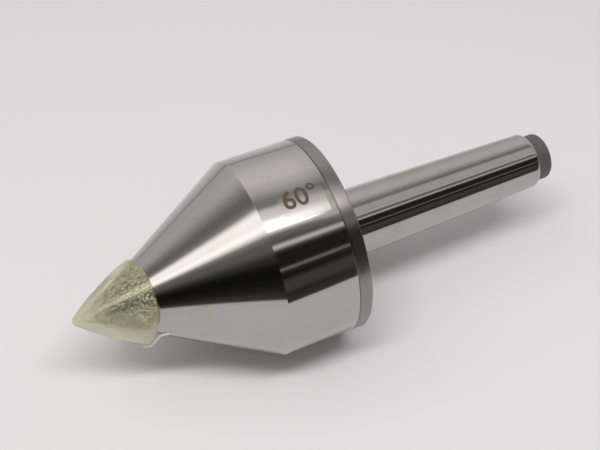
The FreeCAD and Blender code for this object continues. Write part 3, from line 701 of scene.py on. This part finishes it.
# ---- floor -------------------------------------------------------------------------------------
# A plain pale sheet on a flat bench, which the head's land touches. From 0.36 m in front of the
# center lies a black sheet that only the mirroring steel sees, as a dark band: a painted dark
# reflection, standing in for a dark room in front of the bench.
DARK_ROOM_EDGE = -0.36
FLOOR_SIZE = 6.0
FLOOR_DROP = 0.0002
DARK_ROOM_DROP = 0.0001
floor_finish, nodes, shader, place = new_finish("pale_sheet", (0.8, 0.785, 0.785), 0.0, 0.6)
shader.inputs["Specular IOR Level"].default_value = 0.2
# Its black is a painted dark reflection of a dark room; the sheet it goes on is seen only in the
# steel.
dark_room_finish = new_finish("painted_dark_room", (0.02, 0.019, 0.018), 0.0, 0.8)[0]
for name, middle, drop, finish in (
        ("floor", 0.0, FLOOR_DROP, floor_finish),
        ("dark_room_sheet", DARK_ROOM_EDGE - FLOOR_SIZE / 2, DARK_ROOM_DROP, dark_room_finish)):
    bpy.ops.object.select_all(action="DESELECT")
    bpy.ops.mesh.primitive_plane_add(size=FLOOR_SIZE, location=(0, middle, cad_low.z - drop))
    sheet = bpy.context.object
    sheet.name = name
    bpy.ops.object.transform_apply(location=True, rotation=True, scale=True)
    sheet.data.materials.append(finish)
# Only glossy rays see this black sheet, a painted dark reflection; it lights nothing and casts no
# shadow.
dark_room_sheet = bpy.data.objects["dark_room_sheet"]
dark_room_sheet.visible_camera = False
dark_room_sheet.visible_diffuse = False
dark_room_sheet.visible_transmission = False
dark_room_sheet.visible_shadow = False

# ---- light -------------------------------------------------------------------------------------
# The steel and the clear plastic show a studio of bright windows, grey walls and a dark room, as
# bands along their length. Each list gives its walls by their angle about X: 0 is towards the
# viewer, 90 overhead. The camera sees plain white, and matte surfaces a grey and two lamps.
STUDIO_RIGHT = [
    (-180, 0.49), (-150, 0.2), (-18, 0.09), (-13, 0.05), (-8, 0.007), (-1, 0.015), (5, 0.068),
    (14, 0.068), (19, 0.01), (25.5, 0.025), (28, 0.25), (30.5, 0.018), (45, 0.017), (49, 0.073),
    (53, 0.85), (57, 0.099), (66, 0.22), (70, 0.83), (73, 3.2), (79, 2.6), (85, 1.1), (95, 0.86),
    (99, 0.3), (106, 0.28), (120, 0.6), (133, 0.78), (145, 0.76), (157, 0.67), (170, 0.54),
    (180, 0.49),
]
STUDIO_LEFT = [
    (-180, 0.49), (-150, 0.2), (-22, 0.09), (-14, 0.05), (-5, 0.041), (4, 0.017), (13, 0.01),
    (23, 0.005), (33, 0.01), (43, 0.044), (53, 0.14), (62, 0.16), (69, 0.29), (74, 1.13),
    (79, 1.8), (88, 1.5), (98, 1.6), (102, 1.2), (107, 0.32), (116, 0.19), (124, 0.19), (134, 0.3),
    (144, 0.46), (155, 0.53), (168, 0.49), (180, 0.49),
]
STUDIO_TAIL = [
    (-180, 0.49), (-150, 0.2), (-18, 0.09), (-8, 0.03), (8, 0.065), (14, 0.065), (19, 0.02),
    (25.5, 0.025), (28, 0.22), (30.5, 0.018), (45, 0.018), (49, 0.073), (53, 0.75), (57, 0.12),
    (64, 0.25), (68, 0.7), (71, 0.45), (82, 0.5), (94, 0.5), (99, 0.24), (106, 0.23), (119, 0.47),
    (131, 0.6), (143, 0.6), (155, 0.57), (168, 0.5), (180, 0.49),
]
STUDIO_LEVEL = (1.28, 1.22, 1.185)
LEFT_TO_RIGHT = (-0.45, -0.05)
RIGHT_TO_TAIL = (0.375, 0.425)
MATTE_GREY = (0.3, 0.3, 0.3, 1)
PLAIN_WHITE = (1, 1, 1, 1)
world = bpy.data.worlds.new("studio")
bpy.context.scene.world = world
world.use_nodes = True
world_nodes = world.node_tree.nodes
world_links = world.node_tree.links
backdrop = world_nodes["Background"]
direction = world_nodes.new("ShaderNodeTexCoord")
axes = world_nodes.new("ShaderNodeSeparateXYZ")
world_links.new(direction.outputs["Generated"], axes.inputs["Vector"])
away = world_nodes.new("ShaderNodeMath")
away.operation = "MULTIPLY"
away.inputs[1].default_value = -1.0
world_links.new(axes.outputs["Y"], away.inputs[0])
around = world_nodes.new("ShaderNodeMath")
around.operation = "ARCTAN2"
world_links.new(axes.outputs["Z"], around.inputs[0])
world_links.new(away.outputs[0], around.inputs[1])
turns = world_nodes.new("ShaderNodeMapRange")
turns.inputs["From Min"].default_value = -math.pi
turns.inputs["From Max"].default_value = math.pi
world_links.new(around.outputs[0], turns.inputs["Value"])
band_nodes = []
for studio in (STUDIO_LEFT, STUDIO_RIGHT, STUDIO_TAIL):
    bands = world_nodes.new("ShaderNodeValToRGB")
    bands.color_ramp.elements.remove(bands.color_ramp.elements[0])
    for number, (angle, level) in enumerate(studio):
        position = (angle + 180) / 360
        stops = bands.color_ramp.elements
        stop = stops[0] if number == 0 else stops.new(position)
        stop.position = position
        stop.color = (*(level * tint for tint in STUDIO_LEVEL), 1)
    world_links.new(turns.outputs["Result"], bands.inputs["Fac"])
    band_nodes.append(bands)
walls = band_nodes[0].outputs["Color"]
for bands, (begins, ends) in zip(band_nodes[1:], (LEFT_TO_RIGHT, RIGHT_TO_TAIL)):
    across = world_nodes.new("ShaderNodeMapRange")
    across.inputs["From Min"].default_value = begins
    across.inputs["From Max"].default_value = ends
    world_links.new(axes.outputs["X"], across.inputs["Value"])
    sides = world_nodes.new("ShaderNodeMix")
    sides.data_type = "RGBA"
    world_links.new(across.outputs["Result"], sides.inputs["Factor"])
    world_links.new(walls, sides.inputs["A"])
    world_links.new(bands.outputs["Color"], sides.inputs["B"])
    walls = sides.outputs["Result"]
rays = world_nodes.new("ShaderNodeLightPath")
plain = world_nodes.new("ShaderNodeMix")
plain.data_type = "RGBA"
plain.inputs["A"].default_value = MATTE_GREY
plain.inputs["B"].default_value = PLAIN_WHITE
world_links.new(rays.outputs["Is Camera Ray"], plain.inputs["Factor"])
mirror_or_clear = world_nodes.new("ShaderNodeMath")
mirror_or_clear.operation = "MAXIMUM"
world_links.new(rays.outputs["Is Glossy Ray"], mirror_or_clear.inputs[0])
world_links.new(rays.outputs["Is Transmission Ray"], mirror_or_clear.inputs[1])
shown = world_nodes.new("ShaderNodeMix")
shown.data_type = "RGBA"
world_links.new(mirror_or_clear.outputs[0], shown.inputs["Factor"])
world_links.new(plain.outputs["Result"], shown.inputs["A"])
world_links.new(walls, shown.inputs["B"])
world_links.new(shown.outputs["Result"], backdrop.inputs["Color"])
# Each lamp's name, place, length, width and watts. Both aim at the gauge plane.
LAMPS = (
    ("strip", (-0.1, -0.36, 1.25), 1.3, 0.15, 11.4),
    ("ceiling", (-0.6, 0.2, 1.3), 1.2, 1.0, 3.4),
)
for name, lamp_place, length, width, power in LAMPS:
    lamp_data = bpy.data.lights.new(name, "AREA")
    lamp_data.shape = "RECTANGLE"
    lamp_data.size = length
    lamp_data.size_y = width
    lamp_data.energy = power
    lamp = bpy.data.objects.new(name, lamp_data)
    bpy.context.scene.collection.objects.link(lamp)
    lamp.location = lamp_place
    lamp.rotation_euler = (-Vector(lamp_place)).to_track_quat("-Z", "Y").to_euler()
    lamp.visible_glossy = False
bpy.context.scene.view_settings.view_transform = "Standard"
